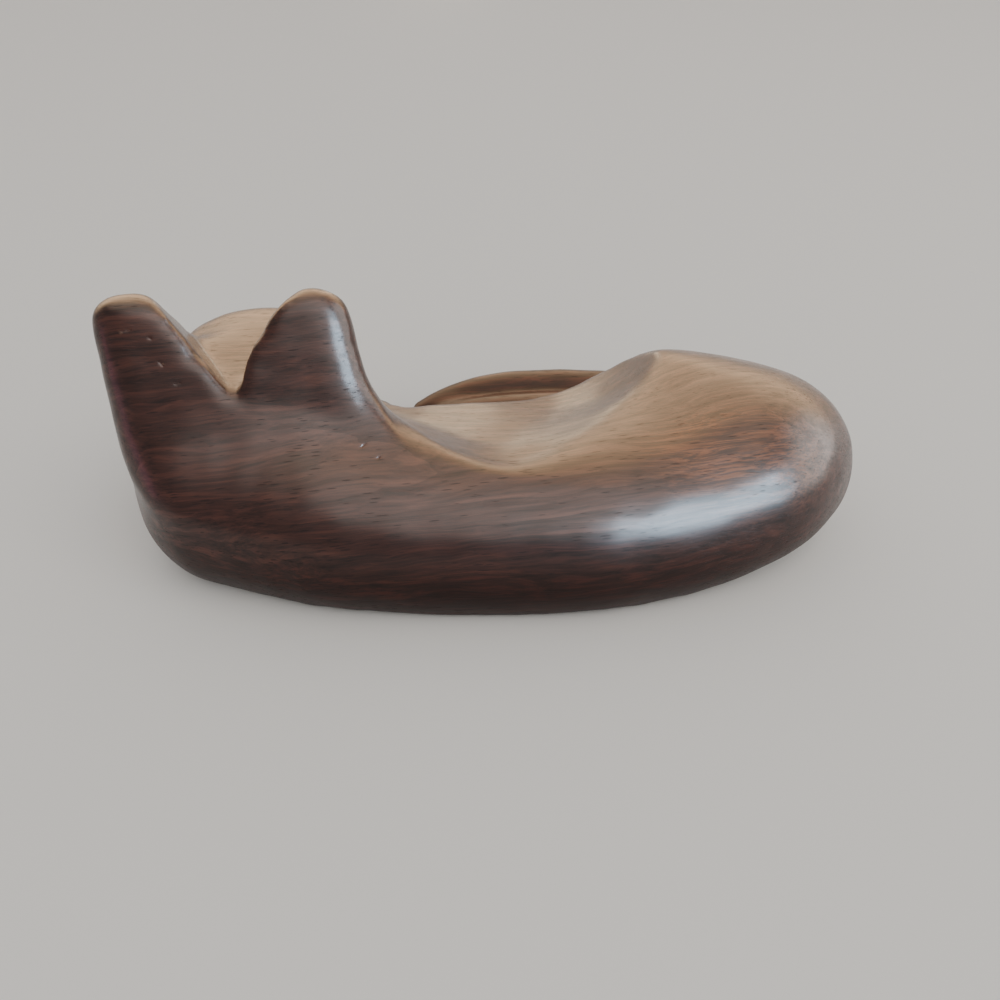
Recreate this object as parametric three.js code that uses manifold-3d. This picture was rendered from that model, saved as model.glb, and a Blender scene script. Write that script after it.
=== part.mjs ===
// A reclining cat carved from solid dark, polished wood.
// Millimetres, +Z up. The cat lies along X with its head at -X, its back towards -Y and its face,
// paws and tail towards +Y. It rests on a flat under its back and haunch, at Z = 0.

import * as THREE from "three";
import { mergeVertices } from "three/addons/utils/BufferGeometryUtils.js";
import Module from "manifold-3d";

// Overall: from the middle of the head to the middle of the rump, and how far the paws and tail come
// forward. Places along the body are shares of its length.
const BODY_LENGTH = 125;
const HEAD_SHARE = 0.416;
const HEAD_X = -HEAD_SHARE * BODY_LENGTH;
const RUMP_X = HEAD_X + BODY_LENGTH;
const FRONT_Y = 38;

// Head: a broad egg with its cheeks sawn flat, turned a little away from the body.
const SKULL_Y = -2;
const SKULL_Z = 27;
const SKULL_WIDTH = 66;
const SKULL_DEPTH = 68;
const SKULL_HEIGHT = 52;
const CHEEK_HALF_WIDTH = 29.5;
const CHEEK_TAPER_DEG = 16;
const CHEEK_ROUNDING = 7;
const HEAD_TURN_DEG = 5.5;

// Ears: blunt wedges. Spreads are from the head's middle; the back leans away from the nape.
const EAR_TIP_Z = 66.4;
const EAR_TIP_INNER = 13;
const EAR_TIP_OUTER = 31;
const EAR_BACK_TIP_Y = -14;
const EAR_FRONT_TIP_Y = -8;
const EAR_BEVEL_Y = -29;
const EAR_BEVEL_X = 26;
const EAR_BEVEL_DEG = 59;
const EAR_BEVEL_ROUNDING = 10;
const EAR_SWELL = 2;
const EDGE_ROUNDING = 2.2;
const EAR_ROOT_Z = 29;
const EAR_BLEND = 1;
const NAPE_BLEND = 9;

// Forehead: the trough between the ears, which rises from the nape's notch to the brow's ridge.
const NOTCH_Y = -22.6;
const NOTCH_Z = 48.2;
const BROW_Y = 6;
const BROW_Z = 49;
const BROW_HALF_WIDTH = 15;

// Face: its arched top, which falls away from the brow, and the muzzle.
const FACE_TOP_Z = 49.2;
const FACE_ARCH_X = 3;
const FACE_ARCH_RADIUS = 50;
const FACE_FALL_DEG = 5;
const MUZZLE_WIDTH = 30;
const MUZZLE_DEPTH = 26;
const MUZZLE_HEIGHT = 22;
const MUZZLE_Y = 23;
const MUZZLE_Z = 24;

// Back and loins: radii of the body along its length.
const SHOULDER_RADIUS = 20;
const WAIST_RADIUS = 23;
const LOIN_RADIUS = 23.5;
const RUMP_RADIUS = 20;
const WAIST_Y = -21.5;

// Chest and belly: eggs that fill the body out under the head and the lap.
const CHEST_X = HEAD_X + 0.048 * BODY_LENGTH;
const CHEST_Y = 2;
const CHEST_LENGTH = 54;
const CHEST_DEPTH = 44;
const CHEST_HEIGHT = 34;
const BELLY_Y = -8;
const BELLY_LENGTH = 0.67 * BODY_LENGTH;
const BELLY_DEPTH = 50;
const BELLY_HEIGHT = 42;
const BELLY_Z = 14;

// Haunch: the thigh's egg shape.
const HAUNCH_X = RUMP_X - 0.184 * BODY_LENGTH;
const HAUNCH_Y = 2;
const HAUNCH_Z = 17;
const HAUNCH_LENGTH = 78;
const HAUNCH_DEPTH = 56;
const HAUNCH_HEIGHT = 46;

// Lap: the scoop between head and haunch. It falls away from the back by its tilt, and its far side
// stays low for longer and then climbs the haunch more steeply.
const LAP_X = HEAD_X + 0.456 * BODY_LENGTH;
const LAP_HEAD_X = LAP_X - 0.172 * BODY_LENGTH;
const LAP_FAR_X = LAP_X + 0.096 * BODY_LENGTH;
const LAP_NEAR_Y = -20;
const LAP_FAR_Y = 12;
const LAP_FLOOR_Z = 33.4;
const LAP_CREST_Y = -27;
const LAP_TILT_DEG = 16;
const LAP_HEAD_TURN_DEG = 25;
const LAP_HEAD_ROUNDING = 26;
const LAP_FAR_ROUNDING = 10;
const LAP_HAUNCH_RADIUS = 57;
const LAP_FAR_RADIUS = 30;
const LAP_HEAD_EDGE = 0.5;
const LAP_EAR_EDGE = 8;
const LAP_HAUNCH_EDGE = 14;
const LAP_SOFT_FRONT_Y = 15;
const LAP_SOFT_BACK_Y = -20;

// Legs and tail.
const PAW_RADIUS = 8.5;
const FOREPAW_Y = FRONT_Y - 2;
const FOREPAW_SPREAD = 9.5;
const FOOT_RADIUS = 9;
const FOOT_Y = FRONT_Y - 13;
const TAIL_RADIUS = 7.5;
const TAIL_TIP_RADIUS = 4.8;

// Blends between the masses, and the size of the facets.
const BODY_BLEND = 12;
const LEG_BLEND = 6;
const CREASE_BLEND = 0.8;
const GROOVE_BLEND = 2.5;
const FACET = 3.3;
const CORNER_DAMPING = 0.02;
const CORNER_MARGIN = 0.03;
const SLOPE_STEP = 0.02;
const HALVINGS = 10;
const WELD = 1e-4;
const REACH = 400;
const SPARE = 15;

const wasm = await Module();
wasm.setup();

// Joins two distances with a fillet of about that radius.
function blend(a, b, radius) {
  const h = Math.max(radius - Math.abs(a - b), 0) / radius;
  return Math.min(a, b) - (h * h * radius) / 4;
}

// Keeps what is inside both, with the edge rounded.
function meet(a, b, radius) {
  return -blend(-a, -b, radius);
}

// An egg: how far a point is outside an ellipsoid, about.
function egg(centre, size) {
  const radii = size.clone().multiplyScalar(0.5);
  const scaled = new THREE.Vector3();
  const steeper = new THREE.Vector3();
  return (p) => {
    scaled.subVectors(p, centre).divide(radii);
    steeper.copy(scaled).divide(radii);
    const reach = scaled.length();
    return reach < 1e-6 ? -Math.min(radii.x, radii.y, radii.z) : (reach * (reach - 1)) / steeper.length();
  };
}

// A limb: a smooth line through stations of x, y, z and radius, as thick as its radius all the way.
function limb(stations, steps = 28) {
  const line = new THREE.CatmullRomCurve3(stations.map(([x, y, z]) => new THREE.Vector3(x, y, z)));
  const radii = new THREE.CatmullRomCurve3(stations.map(([, , , r]) => new THREE.Vector3(r, 0, 0)));
  const joints = Array.from({ length: steps + 1 }, (_, i) => ({
    place: line.getPoint(i / steps),
    radius: radii.getPoint(i / steps).x,
  }));
  return (p) => {
    let nearest = Infinity;
    for (let i = 0; i < steps; i += 1) {
      const { place: a, radius: ra } = joints[i];
      const { place: b, radius: rb } = joints[i + 1];
      const [dx, dy, dz] = [b.x - a.x, b.y - a.y, b.z - a.z];
      const squared = dx * dx + dy * dy + dz * dz;
      const share = ((p.x - a.x) * dx + (p.y - a.y) * dy + (p.z - a.z) * dz) / squared;
      const t = Math.min(1, Math.max(0, share));
      const gap = Math.hypot(p.x - a.x - t * dx, p.y - a.y - t * dy, p.z - a.z - t * dz);
      nearest = Math.min(nearest, gap - ra - t * (rb - ra));
    }
    return nearest;
  };
}

// A flat knife cut through three points: negative on the side away from where "out" points.
function cut(a, b, c, out) {
  const plane = new THREE.Plane().setFromCoplanarPoints(a, b, c);
  if (plane.normal.dot(out) < 0) plane.negate();
  return (p) => plane.distanceToPoint(p);
}

const at = (x, y, z) => new THREE.Vector3(x, y, z);

// The sawn side of the head, from the ear's tip down the cheek, closing in towards the face.
function cheekCut() {
  const tip = at(EAR_TIP_OUTER, EAR_BACK_TIP_Y, EAR_TIP_Z);
  const cheek = at(CHEEK_HALF_WIDTH, EAR_BACK_TIP_Y, SKULL_Z);
  const taper = THREE.MathUtils.degToRad(CHEEK_TAPER_DEG);
  return cut(tip, cheek, cheek.clone().add(at(-Math.sin(taper), Math.cos(taper), 0)), at(1, 0, 0));
}

// The slope of the nape, which runs on up the backs of both ears.
function napeCut() {
  const tip = at(0, EAR_BACK_TIP_Y, EAR_TIP_Z);
  const notch = at(0, NOTCH_Y, NOTCH_Z);
  return cut(tip, notch, notch.clone().setX(1), at(0, -1, 0));
}

// The bevel between the nape and the sawn cheek, wider towards the shoulder.
function bevelCut() {
  const slant = THREE.MathUtils.degToRad(EAR_BEVEL_DEG);
  const tip = at(EAR_TIP_OUTER, EAR_BACK_TIP_Y, EAR_TIP_Z);
  const root = at(EAR_BEVEL_X, EAR_BEVEL_Y, EAR_ROOT_Z);
  return cut(tip, root, root.clone().add(at(Math.cos(slant), Math.sin(slant), 0)), at(1, -1, 0));
}

// One ear's inner face, front and tip, in a frame where x is the distance from the head's middle, so
// that it makes both. Its outer side is as wide as the skull, for the cuts of the cheek and the lap.
// The right ear's inner face swells a little between root and tip.
function earWedge() {
  const tipInner = at(EAR_TIP_INNER, EAR_BACK_TIP_Y, EAR_TIP_Z);
  const brow = at(BROW_HALF_WIDTH, BROW_Y, BROW_Z);
  const flat = cut(tipInner, at(0, NOTCH_Y, NOTCH_Z), brow, at(-1, 0, 0));
  const rise = EAR_TIP_Z - NOTCH_Z;
  const faces = [
    napeCut(),
    (p, swell) => flat(p) - swell * Math.sin(Math.PI * THREE.MathUtils.clamp((p.z - NOTCH_Z) / rise, 0, 1)),
    cut(at(0, EAR_FRONT_TIP_Y, EAR_TIP_Z), brow.clone().setX(0), brow, at(0, 1, 0)),
    (p) => p.x - SKULL_WIDTH / 2,
    (p) => EAR_ROOT_Z - p.z,
    (p) => p.z - EAR_TIP_Z,
  ];
  return (p, swell) => faces.reduce((most, face) => meet(most, face(p, swell), EDGE_ROUNDING), -Infinity);
}

// The scoop between head and haunch: it drops down the side of the head and rises in a long bow.
function lapScoop() {
  const fall = Math.tan(THREE.MathUtils.degToRad(LAP_TILT_DEG));
  const turn = THREE.MathUtils.degToRad(LAP_HEAD_TURN_DEG);
  return (p) => {
    const far = THREE.MathUtils.smoothstep(p.y, LAP_NEAR_Y, LAP_FAR_Y);
    const start = THREE.MathUtils.lerp(LAP_X, LAP_FAR_X, far);
    const radius = THREE.MathUtils.lerp(LAP_HAUNCH_RADIUS, LAP_FAR_RADIUS, far);
    const bow = Math.max(0, p.x - start) ** 2 / (2 * radius);
    const floor = LAP_FLOOR_Z + bow - (p.y - LAP_CREST_Y) * fall;
    const wall = (LAP_HEAD_X - p.x) * Math.cos(turn) - (p.y - LAP_CREST_Y) * Math.sin(turn);
    const rounding = THREE.MathUtils.lerp(LAP_HEAD_ROUNDING, LAP_FAR_ROUNDING, far);
    return meet(wall, (floor - p.z) * Math.cos(THREE.MathUtils.degToRad(LAP_TILT_DEG)), rounding);
  };
}

// The head with its ears, in its own frame.
function headShape() {
  const skull = egg(at(0, SKULL_Y, SKULL_Z), at(SKULL_WIDTH, SKULL_DEPTH, SKULL_HEIGHT));
  const muzzle = egg(at(0, MUZZLE_Y, MUZZLE_Z), at(MUZZLE_WIDTH, MUZZLE_DEPTH, MUZZLE_HEIGHT));
  const ear = earWedge();
  const nape = napeCut();
  const sawn = cheekCut();
  const bevel = bevelCut();
  const brow = at(0, BROW_Y, BROW_Z);
  const forehead = cut(at(0, NOTCH_Y, NOTCH_Z), brow, brow.clone().setX(1), at(0, 0, 1));
  const ownSide = at(0, 0, 0);
  const fall = Math.tan(THREE.MathUtils.degToRad(FACE_FALL_DEG));
  return (p, shoulders) => {
    ownSide.set(Math.abs(p.x), p.y, p.z);
    const bow = (p.x - FACE_ARCH_X) ** 2 / (2 * FACE_ARCH_RADIUS);
    const arch = p.z - FACE_TOP_Z + bow + (p.y - BROW_Y) * fall;
    const trough = Math.min(forehead(p), BROW_Y - p.y);
    const crown = meet(meet(skull(p), trough, CREASE_BLEND), nape(p), EDGE_ROUNDING);
    const lowness = THREE.MathUtils.smoothstep(NOTCH_Z - p.z, 0, NOTCH_Z - EAR_ROOT_Z);
    const swell = p.x > 0 ? EAR_SWELL : 0;
    let head = blend(crown, ear(ownSide, swell), THREE.MathUtils.lerp(EAR_BLEND, NAPE_BLEND, lowness));
    head = meet(head, Math.min(p.y - BROW_Y, arch), CREASE_BLEND);
    ownSide.setX(-p.x);
    head = meet(head, meet(sawn(ownSide), bevel(ownSide), EAR_BEVEL_ROUNDING), CHEEK_ROUNDING);
    head = blend(head, shoulders, NAPE_BLEND);
    return blend(head, muzzle(p), LEG_BLEND);
  };
}

// The whole figure before the underside is cut flat, as a signed distance.
function figure() {
  const along = (share) => HEAD_X + share * BODY_LENGTH;
  const torso = limb([
    [along(-0.048), WAIST_Y + 4, 15, SHOULDER_RADIUS],
    [along(0.176), WAIST_Y + 0.5, 13.5, WAIST_RADIUS - 0.5],
    [along(0.416), WAIST_Y, 12, WAIST_RADIUS],
    [along(0.648), WAIST_Y + 1.5, 13, LOIN_RADIUS],
    [along(0.816), WAIST_Y + 5.5, 14.5, LOIN_RADIUS - 0.5],
    [along(0.944), WAIST_Y + 10.5, 18, RUMP_RADIUS + 2.2],
    [RUMP_X, WAIST_Y + 15.5, 17, RUMP_RADIUS + 0.3],
  ]);
  const head = headShape();
  const chest = egg(at(CHEST_X, CHEST_Y, BELLY_Z), at(CHEST_LENGTH, CHEST_DEPTH, CHEST_HEIGHT));
  const belly = egg(at(along(0.448), BELLY_Y, BELLY_Z), at(BELLY_LENGTH, BELLY_DEPTH, BELLY_HEIGHT));
  const haunch = egg(at(HAUNCH_X, HAUNCH_Y, HAUNCH_Z), at(HAUNCH_LENGTH, HAUNCH_DEPTH, HAUNCH_HEIGHT));
  const lap = lapScoop();
  const foot = limb([
    [along(0.832), FOOT_Y - 8, 10, FOOT_RADIUS + 3],
    [along(0.64), FOOT_Y - 1, 8, FOOT_RADIUS],
    [along(0.464), FOOT_Y + 1, 6.5, FOOT_RADIUS - 1],
    [along(0.36), FOOT_Y, 6, FOOT_RADIUS - 2],
  ]);
  const tail = limb([
    [RUMP_X + 5, -8, 14, TAIL_RADIUS + 1],
    [RUMP_X + 7, 12, 11, TAIL_RADIUS + 1],
    [RUMP_X - 11, FRONT_Y - 7, 9, TAIL_RADIUS],
    [along(0.688), FRONT_Y, 8, TAIL_RADIUS],
    [along(0.48), FRONT_Y, 8, TAIL_RADIUS - 0.5],
    [along(0.368), FRONT_Y - 3, 6.8, TAIL_RADIUS - 1.2],
    [along(0.29), FRONT_Y - 7, 5.6, TAIL_TIP_RADIUS],
  ]);
  const forelegs = [-1, 1].map((side) =>
    limb([
      [HEAD_X + side * 13, 4, 10, PAW_RADIUS + 1],
      [HEAD_X - 2 + side * 11, 20, 7.5, PAW_RADIUS - 0.5],
      [HEAD_X - 3 + side * FOREPAW_SPREAD, FOREPAW_Y - 4, 6, PAW_RADIUS + 0.5],
      [HEAD_X - 3 + side * FOREPAW_SPREAD, FOREPAW_Y, 5, PAW_RADIUS],
    ]),
  );
  const turn = THREE.MathUtils.degToRad(HEAD_TURN_DEG);
  const neck = at(HEAD_X, SKULL_Y, 0);
  const upright = at(0, 0, 1);
  const local = at(0, 0, 0);
  return (p) => {
    local.subVectors(p, neck).applyAxisAngle(upright, -turn).setY(local.y + SKULL_Y);
    const body = blend(torso(p), blend(belly(p), haunch(p), BODY_BLEND), BODY_BLEND);
    const fading =
      THREE.MathUtils.smoothstep(p.x, LAP_X, HAUNCH_X) *
      THREE.MathUtils.smoothstep(-p.y, -LAP_SOFT_FRONT_Y, -LAP_SOFT_BACK_Y);
    const softness =
      THREE.MathUtils.lerp(LAP_HEAD_EDGE, LAP_HAUNCH_EDGE, fading) +
      LAP_EAR_EDGE * THREE.MathUtils.smoothstep(p.z, LAP_FLOOR_Z, NOTCH_Z);
    let whole = blend(head(local, torso(p)), blend(body, chest(p), LEG_BLEND), LEG_BLEND);
    whole = meet(whole, -lap(p), softness);
    const legs = Math.min(...forelegs.map((leg) => leg(p)));
    whole = blend(blend(whole, legs, LEG_BLEND), foot(p), GROOVE_BLEND);
    return blend(whole, tail(p), GROOVE_BLEND);
  };
}

// Wraps a field in facets of about the given size: one vertex for each grid cell that the surface
// crosses, put where the surface's tangent planes meet so that edges stay crisp, and one face for each
// grid edge that it crosses.
function wrap(field, low, high, cell) {
  const [nx, ny, nz] = ["x", "y", "z"].map((k) => Math.ceil((high[k] - low[k]) / cell) + 1);
  const steps = [1, nx, nx * ny];
  const index = (i, j, k) => i + nx * j + nx * ny * k;
  const place = (i, j, k) => at(i, j, k).multiplyScalar(cell).add(low);
  const values = new Float64Array(nx * ny * nz);
  for (let k = 0; k < nz; k += 1)
    for (let j = 0; j < ny; j += 1)
      for (let i = 0; i < nx; i += 1) values[index(i, j, k)] = field(place(i, j, k));
  const inside = (n) => values[n] < 0;

  // Where wood meets wood only across a grid square's diagonal, the square's shallower gap is filled, so
  // that the skin stays one closed surface.
  for (let filled = true; filled; ) {
    filled = false;
    for (let n = 0; n < values.length - nx * ny - nx; n += 1)
      for (let axis = 0; axis < 3; axis += 1) {
        const [u, v] = [steps[axis], steps[(axis + 1) % 3]];
        const [a, b, c, d] = [n, n + u, n + u + v, n + v];
        if (inside(a) !== inside(c) || inside(b) !== inside(d) || inside(a) === inside(b)) continue;
        const [first, second] = inside(a) ? [b, d] : [a, c];
        values[values[first] < values[second] ? first : second] *= -1;
        filled = true;
      }
  }

  function slopeAt(point) {
    const h = cell * SLOPE_STEP;
    const slope = at(0, 0, 0);
    for (let axis = 0; axis < 3; axis += 1) {
      const ahead = point.clone().setComponent(axis, point.getComponent(axis) + h);
      const behind = point.clone().setComponent(axis, point.getComponent(axis) - h);
      slope.setComponent(axis, field(ahead) - field(behind));
    }
    return slope.normalize();
  }

  // Where the surface crosses one grid edge, found by halving, and its slope there. It is halfway to a
  // gap that was filled.
  const touches = new Map();
  function touch(i, j, k, axis) {
    const key = index(i, j, k) * 3 + axis;
    if (touches.has(key)) return touches.get(key);
    let outer = place(i, j, k);
    let inner = outer.clone().setComponent(axis, outer.getComponent(axis) + cell);
    if (inside(index(i, j, k))) [outer, inner] = [inner, outer];
    const filled = field(inner) > 0;
    for (let turn = 0; turn < HALVINGS; turn += 1) {
      const middle = outer.clone().lerp(inner, 0.5);
      if (filled ? turn === 0 : field(middle) < 0) inner = middle;
      else outer = middle;
    }
    const found = { point: inner, slope: slopeAt(inner) };
    touches.set(key, found);
    return found;
  }

  // The point of one cell where the tangent planes at its crossings meet best.
  function corner(i, j, k) {
    const found = [];
    for (let axis = 0; axis < 3; axis += 1)
      for (let side = 0; side < 4; side += 1) {
        const offset = [0, 0, 0];
        offset[(axis + 1) % 3] = side & 1;
        offset[(axis + 2) % 3] = side >> 1;
        const [a, b, c] = [i + offset[0], j + offset[1], k + offset[2]];
        const from = index(a, b, c);
        if (inside(from) !== inside(from + steps[axis])) found.push(touch(a, b, c, axis));
      }
    if (!found.length) return null;
    const middle = found.reduce((sum, { point }) => sum.add(point), at(0, 0, 0)).divideScalar(found.length);
    const planes = new THREE.Matrix3().set(0, 0, 0, 0, 0, 0, 0, 0, 0);
    const pull = at(0, 0, 0);
    for (const { point, slope } of found) {
      const gap = slope.dot(point) - slope.dot(middle);
      pull.addScaledVector(slope, gap);
      for (let row = 0; row < 3; row += 1)
        for (let column = 0; column < 3; column += 1)
          planes.elements[row + 3 * column] += slope.getComponent(row) * slope.getComponent(column);
    }
    for (let axis = 0; axis < 3; axis += 1) planes.elements[4 * axis] += CORNER_DAMPING * found.length;
    const best = pull.applyMatrix3(planes.invert()).add(middle);
    const near = CORNER_MARGIN;
    const far = 1 - CORNER_MARGIN;
    return best.clamp(place(i + near, j + near, k + near), place(i + far, j + far, k + far));
  }

  const positions = [];
  const vertexOf = new Map();
  for (let k = 0; k < nz - 1; k += 1)
    for (let j = 0; j < ny - 1; j += 1)
      for (let i = 0; i < nx - 1; i += 1) {
        const best = corner(i, j, k);
        if (!best) continue;
        vertexOf.set(index(i, j, k), positions.length);
        positions.push(best);
      }

  const faces = [];
  for (const cellIndex of vertexOf.keys())
    for (let axis = 0; axis < 3; axis += 1) {
      const [u, v] = [steps[(axis + 1) % 3], steps[(axis + 2) % 3]];
      if (inside(cellIndex) === inside(cellIndex + steps[axis])) continue;
      const ring = [cellIndex, cellIndex - u, cellIndex - u - v, cellIndex - v].map((n) => vertexOf.get(n));
      if (!inside(cellIndex)) ring.reverse();
      const [a, b, c, d] = ring;
      const [first, second] = [a, b].map((n, start) => positions[n].distanceTo(positions[ring[start + 2]]));
      if (first < second) faces.push(a, b, c, a, c, d);
      else faces.push(a, b, d, b, c, d);
    }
  return new THREE.BufferGeometry().setFromPoints(positions).setIndex(faces);
}

// A closed geometry as a solid that can be joined and cut.
function solidOf(geometry) {
  const plain = geometry.clone();
  plain.deleteAttribute("normal");
  plain.deleteAttribute("uv");
  const merged = mergeVertices(plain, WELD);
  return new wasm.Manifold(
    new wasm.Mesh({
      numProp: 3,
      vertProperties: merged.attributes.position.array,
      triVerts: new Uint32Array(merged.index.array),
    }),
  );
}

function geometryOf(solid) {
  const { vertProperties, triVerts } = solid.getMesh();
  return new THREE.BufferGeometry()
    .setAttribute("position", new THREE.BufferAttribute(vertProperties, 3))
    .setIndex(new THREE.BufferAttribute(triVerts, 1));
}

// The block under the table's surface, which leaves the flat that the cat rests on.
function undersideCutter() {
  return new THREE.BoxGeometry(REACH, REACH, REACH / 2).translate(0, 0, -REACH / 4);
}

const low = at(HEAD_X - SKULL_WIDTH / 2 - SPARE, WAIST_Y - LOIN_RADIUS - SPARE, -5 * FACET);
const high = at(RUMP_X + RUMP_RADIUS + SPARE, FRONT_Y + TAIL_RADIUS + SPARE, EAR_TIP_Z + 2 * FACET);
const rough = solidOf(wrap(figure(), low, high, FACET));
const carved = rough.subtract(solidOf(undersideCutter()));

// The origin is the middle of the box around the cat, on the table.
const skin = geometryOf(carved);
skin.computeBoundingBox();
const middle = skin.boundingBox.getCenter(at(0, 0, 0));
skin.translate(-middle.x, -middle.y, 0);
skin.computeVertexNormals();

const wood = new THREE.MeshStandardMaterial({ color: 0x4a2a20, roughness: 0.3, metalness: 0 });
const cat = new THREE.Mesh(skin, wood);
cat.name = "cat";

const object = new THREE.Group();
object.add(cat);

export default object;
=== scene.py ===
# %% [markdown]
# # A reclining cat in dark polished hardwood
#
# The real thing is a palm-sized carving, cut from solid dark timber, sanded, stained by
# years of wax and rubbed to a satin gloss. A plain solid of the cat comes first, and this
# lesson turns a copy of it into the finished carving: a smooth skin, the knife cuts of the
# face and paws, and a timber with grain, pores, wear and scratches, with painted shade low
# on the flanks and a painted highlight on its sharp edges.

# %% Load the frame
import math
from collections import Counter
import bpy
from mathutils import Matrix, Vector
from mathutils.bvhtree import BVHTree


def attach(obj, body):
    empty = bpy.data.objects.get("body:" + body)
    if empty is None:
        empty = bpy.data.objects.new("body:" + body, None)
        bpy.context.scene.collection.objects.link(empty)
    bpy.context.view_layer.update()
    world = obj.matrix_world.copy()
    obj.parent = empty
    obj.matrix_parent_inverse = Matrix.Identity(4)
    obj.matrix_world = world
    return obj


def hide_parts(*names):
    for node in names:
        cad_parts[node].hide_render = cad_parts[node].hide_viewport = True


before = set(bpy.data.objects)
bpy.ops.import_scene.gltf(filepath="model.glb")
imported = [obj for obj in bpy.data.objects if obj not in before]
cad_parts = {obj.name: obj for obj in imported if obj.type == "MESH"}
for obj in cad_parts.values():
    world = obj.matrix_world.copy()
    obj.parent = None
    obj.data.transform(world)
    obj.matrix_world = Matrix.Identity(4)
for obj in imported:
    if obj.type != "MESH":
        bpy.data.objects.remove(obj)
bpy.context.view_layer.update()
MM = 0.001

# %% [markdown]
# ## The camera
#
# The photograph looks down at the back of the cat from close by. The vanishing lines of
# the table gave the pitch, and the lens follows from how much nearer things are enlarged.
# One focal length in pixels is turned into millimetres of lens for a square picture.

# %% Place the camera
PICTURE_PIXELS = 1000
FOCAL_PIXELS = 751
SENSOR_WIDTH = 36
CAMERA_AT = Vector((-0.7, -156.1, 138.9)) * MM
CAMERA_PITCH_DEG = 42
NEAREST_SEEN = 5 * MM

camera_turn = (math.radians(90 - CAMERA_PITCH_DEG), 0, 0)
bpy.ops.object.camera_add(location=CAMERA_AT, rotation=camera_turn)
camera = bpy.context.active_object
camera.name = "camera"
camera.data.sensor_width = SENSOR_WIDTH
camera.data.lens = FOCAL_PIXELS * SENSOR_WIDTH / PICTURE_PIXELS
camera.data.clip_start = NEAREST_SEEN
bpy.context.scene.camera = camera
print("lens", round(camera.data.lens, 2), "mm")

# %% [markdown]
# ## The light
#
# One large soft box lights the cat and the floor. Polished dark wood shows what it reflects
# more than its own colour, so three cards are hung for the polish alone, as a photographer
# does: a cool window to the right, a low lamp behind and something rose coloured to the
# left. Each panel's power is worked out from how bright it should look, so that its size
# can be changed without changing its brightness.

# %% Make a soft panel
def soft_panel(name, at, aim, width, height, brightness, colour):
    """A rectangular light, turned to face aim, that looks equally bright at any size."""
    place = Vector(at)
    turn = (Vector(aim) - place).to_track_quat("-Z", "Y").to_euler()
    bpy.ops.object.light_add(type="AREA", location=place, rotation=turn)
    panel = bpy.context.active_object
    panel.name = name
    panel.data.shape = "RECTANGLE"
    panel.data.size = width
    panel.data.size_y = height
    panel.data.energy = brightness * math.pi * width * height
    panel.data.color = colour
    panel.visible_camera = False
    return panel


# %% Hang the soft panels
NEUTRAL_WHITE = (1.0, 0.98, 0.95)
LAMP_WHITE = (1.0, 0.80, 0.54)
COOL_WHITE = (0.64, 0.83, 1.0)
ROSE = (1.0, 0.30, 0.50)

soft_box = soft_panel(
    "soft_box",
    at=(0.5, -0.5, 1.2), aim=(0, 0, 0),
    width=1.2, height=1.2, brightness=1.5, colour=NEUTRAL_WHITE,
)
soft_box.visible_glossy = False
cool_window = soft_panel(
    "cool_window",
    at=(0.43, -0.57, 0.25), aim=(0.02, -0.03, 0.03),
    width=0.42, height=0.34, brightness=26.0, colour=COOL_WHITE,
)
low_lamp = soft_panel(
    "low_lamp",
    at=(-0.07, 0.95, 0.06), aim=(0, 0, 0.03),
    width=0.10, height=0.10, brightness=5.0, colour=LAMP_WHITE,
)
rose_card = soft_panel(
    "rose_corner",
    at=(-0.5, -0.24, 0.05), aim=(-0.05, 0, 0.03),
    width=0.16, height=0.09, brightness=1.3, colour=ROSE,
)
for card in (cool_window, low_lamp, rose_card):
    card.visible_diffuse = False
    print(card.name, "has", round(card.data.energy, 3), "watts")

# %% [markdown]
# ## The floor
#
# A plain pale floor keeps all attention on the carving. It is matt, so that the cat leaves
# a soft contact shadow on it and no mirror image.

# %% Lay the floor
FLOOR_SIDE = 6.0
FLOOR_COLOUR = (0.88, 0.84, 0.78, 1.0)
FLOOR_ROUGHNESS = 0.9
FLOOR_SHINE = 0.1

bpy.ops.mesh.primitive_plane_add(size=FLOOR_SIDE, location=(0, 0, 0))
floor = bpy.context.active_object
floor.name = "floor"
floor_finish = bpy.data.materials.new("pale_floor")
floor_finish.use_nodes = True
floor_shader = floor_finish.node_tree.nodes["Principled BSDF"]
floor_shader.inputs["Base Color"].default_value = FLOOR_COLOUR
floor_shader.inputs["Roughness"].default_value = FLOOR_ROUGHNESS
floor_shader.inputs["Specular IOR Level"].default_value = FLOOR_SHINE
floor.data.materials.append(floor_finish)
print("floor is", FLOOR_SIDE, "m wide")

# %% [markdown]
# ## Helpers for meshes
#
# The same few steps come back for every shape: one object is made the active one, a
# modifier is added and applied, and vertices are selected by where they lie.

# %% Select, modify and count
def select_only(thing):
    """Leaves one object selected and active, in object mode."""
    bpy.ops.object.select_all(action="DESELECT")
    thing.select_set(True)
    bpy.context.view_layer.objects.active = thing


def apply_modifier(thing, kind, **settings):
    """Adds one modifier, sets its values and applies it at once."""
    select_only(thing)
    bpy.ops.object.modifier_add(type=kind)
    modifier = thing.modifiers[-1]
    for name, value in settings.items():
        setattr(modifier, name, value)
    bpy.ops.object.modifier_apply(modifier=modifier.name)


def triangles_of(thing):
    """How many triangles an object's faces make."""
    return sum(len(face.vertices) - 2 for face in thing.data.polygons)


def select_where(thing, test):
    """Opens edit mode with only those vertices selected whose place passes the test."""
    select_only(thing)
    bpy.ops.object.mode_set(mode="EDIT")
    bpy.ops.mesh.select_mode(type="VERT")
    bpy.ops.mesh.select_all(action="DESELECT")
    bpy.ops.object.mode_set(mode="OBJECT")
    for vertex in thing.data.vertices:
        vertex.select = test(vertex.co)
    bpy.ops.object.mode_set(mode="EDIT")


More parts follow.
